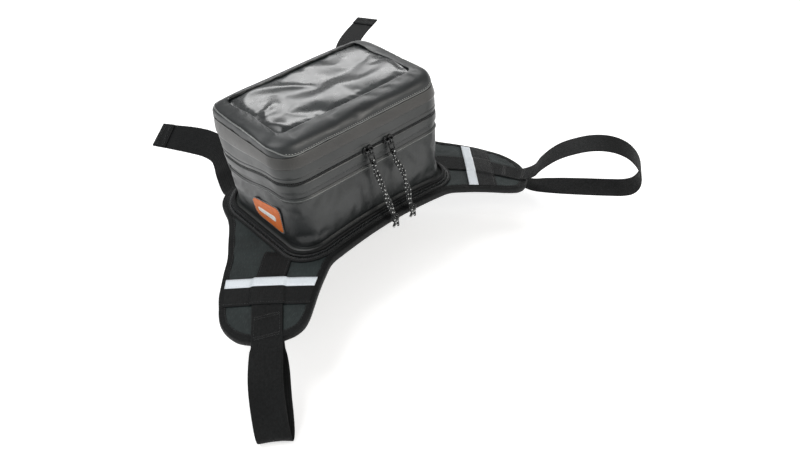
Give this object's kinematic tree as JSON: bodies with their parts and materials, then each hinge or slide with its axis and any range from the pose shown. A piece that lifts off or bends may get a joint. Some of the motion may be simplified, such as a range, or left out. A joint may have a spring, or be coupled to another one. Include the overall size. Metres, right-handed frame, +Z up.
{
  "type": "motorcycle tank bag",
  "caption": "Small tank bag with a clear phone and map window in its zip lid, zipped onto a padded saddle harness with strap loops and front straps.",
  "frame": {"origin": "middle of the underside of the harness, on the crown of the tank", "axes": "+Z up, away from the tank; +X across the tank, to the rider's right; +Y towards the front of the motorcycle, so the zip pulls face -Y"},
  "size_m": [0.6216, 0.6296, 0.2325],
  "materials": {
    "coated_fabric": "satin TPU-coated woven fabric, charcoal",
    "trim_fabric": "black coated trim and bound seams",
    "harness_fabric": "dark grey-green coated fabric",
    "webbing": "black ribbed nylon webbing and binding tape",
    "zip_tape": "black laminated zip tape",
    "zip_coil": "black nylon coil",
    "black_metal": "black lacquered cast zinc",
    "cord": "black braided cord with white reflective flecks",
    "window_film": "clear soft vinyl film, glossy and slightly wrinkled",
    "pocket_fabric": "black pocket lining",
    "stiffener_board": "thin polyethylene board",
    "foam": "closed-cell foam",
    "grip_rubber": "non-slip rubberised fabric",
    "reflective": "silver-white reflective strip",
    "badge": "plain orange badge with a white bar, no lettering"
  },
  "bodies": {
    "harness": {"harness_top_panel": "harness_fabric", "harness_foam_pad": "foam", "harness_grip_panel": "grip_rubber", "harness_near_binding": "webbing", "harness_front_binding": "webbing", "base_zip_lower_coil": "zip_coil", "base_zip_lower_tape": "zip_tape", "left_front_anchor": "webbing", "right_front_anchor": "webbing"},
    "bag": {"bag_shell": "coated_fabric", "base_board": "stiffener_board", "wall_stiffener": "foam", "lower_weld_strip": "coated_fabric", "lid_zip_lower_tape": "zip_tape", "lid_zip_lower_teeth": "zip_coil", "lid_hinge_strip": "coated_fabric", "end_badge": "badge", "base_flange": "trim_fabric", "base_piping": "trim_fabric", "base_zip_upper_coil": "zip_coil"},
    "lid": {"lid_shell": "coated_fabric", "window_pane": "window_film", "window_pocket_back": "pocket_fabric", "lid_skirt_liner": "foam", "zip_rain_flap": "coated_fabric", "lid_zip_upper_tape": "zip_tape", "lid_zip_upper_teeth": "zip_coil"},
    "left_slider": {"left_zip_slider": "black_metal"},
    "right_slider": {"right_zip_slider": "black_metal"},
    "left_pull": {"left_zip_pull": "black_metal"},
    "right_pull": {"right_zip_pull": "black_metal"},
    "left_cord": {"left_pull_cord": "cord"},
    "right_cord": {"right_pull_cord": "cord"},
    "base_slider": {"base_zip_slider": "black_metal"},
    "base_pull": {"base_zip_pull": "black_metal"},
    "left_loop": {"left_strap_loop": "webbing"},
    "right_loop": {"right_strap_loop": "webbing"},
    "left_front": {"left_front_strap": "webbing"},
    "right_front": {"right_front_strap": "webbing"},
    "left_wing": {"left_wing_panel": "harness_fabric", "left_wing_foam": "foam", "left_wing_grip": "grip_rubber", "left_wing_binding": "webbing", "left_wing_webbing": "webbing", "left_return_webbing": "webbing", "left_sleeve_band": "webbing", "left_reflective_strip": "reflective"},
    "right_wing": {"right_wing_panel": "harness_fabric", "right_wing_foam": "foam", "right_wing_grip": "grip_rubber", "right_wing_binding": "webbing", "right_wing_webbing": "webbing", "right_return_webbing": "webbing", "right_sleeve_band": "webbing", "right_reflective_strip": "reflective"}
  },
  "joints": [
    {"name": "bag_lift_off", "type": "slide", "parent": "harness", "child": "bag", "axis": [0, 0, 1], "range_m": [0, 0.2]},
    {"name": "lid_hinge", "type": "hinge", "parent": "bag", "child": "lid", "pos_m": [0, 0.076, 0.0958], "axis": [-1, 0, 0], "range_deg": [0, 110]},
    {"name": "left_zip_slide", "type": "slide", "parent": "bag", "child": "left_slider", "axis": [-1, 0, 0], "range_m": [0, 0.068]},
    {"name": "right_zip_slide", "type": "slide", "parent": "bag", "child": "right_slider", "axis": [1, 0, 0], "range_m": [0, 0.045]},
    {"name": "left_pull_hinge", "type": "hinge", "parent": "left_slider", "child": "left_pull", "pos_m": [-0.005, -0.08712, 0.09657], "axis": [-1, 0, 0], "range_deg": [0, 95]},
    {"name": "right_pull_hinge", "type": "hinge", "parent": "right_slider", "child": "right_pull", "pos_m": [0.026, -0.08712, 0.09657], "axis": [-1, 0, 0], "range_deg": [0, 95]},
    {"name": "left_cord_hinge", "type": "hinge", "parent": "left_pull", "child": "left_cord", "pos_m": [-0.005, -0.09176, 0.08157], "axis": [-1, 0, 0], "range_deg": [0, 50]},
    {"name": "right_cord_hinge", "type": "hinge", "parent": "right_pull", "child": "right_cord", "pos_m": [0.026, -0.09176, 0.08157], "axis": [-1, 0, 0], "range_deg": [0, 50]},
    {"name": "base_zip_slide", "type": "slide", "parent": "bag", "child": "base_slider", "axis": [1, 0, 0], "range_m": [-0.03, 0.03]},
    {"name": "base_pull_hinge", "type": "hinge", "parent": "base_slider", "child": "base_pull", "pos_m": [0, 0.0887, 0.0184], "axis": [1, 0, 0], "range_deg": [-20, 120]},
    {"name": "right_wing_flex", "type": "hinge", "parent": "harness", "child": "right_wing", "pos_m": [0.14966, -0.06619, -0.01463], "axis": [0.6218, 0.7703, -0.1414], "range_deg": [-25, 35]},
    {"name": "left_wing_flex", "type": "hinge", "parent": "harness", "child": "left_wing", "pos_m": [-0.14966, -0.06619, -0.01463], "axis": [0.6218, -0.7703, 0.1414], "range_deg": [-25, 35]},
    {"name": "right_loop_hinge", "type": "hinge", "parent": "right_wing", "child": "right_loop", "pos_m": [0.212, -0.142, -0.0338], "axis": [-0.7848, -0.6198, 0], "range_deg": [-50, 40]},
    {"name": "left_loop_hinge", "type": "hinge", "parent": "left_wing", "child": "left_loop", "pos_m": [-0.2116, -0.1425, -0.0338], "axis": [-0.8181, 0.5751, 0], "range_deg": [-60, 12]},
    {"name": "right_front_strap_hinge", "type": "hinge", "parent": "harness", "child": "right_front", "pos_m": [0.096, 0.0985, -0.0084], "axis": [1, 0, 0], "range_deg": [-45, 60]},
    {"name": "left_front_strap_hinge", "type": "hinge", "parent": "harness", "child": "left_front", "pos_m": [-0.094, 0.0985, -0.0082], "axis": [1, 0, 0], "range_deg": [-45, 60]}
  ]
}
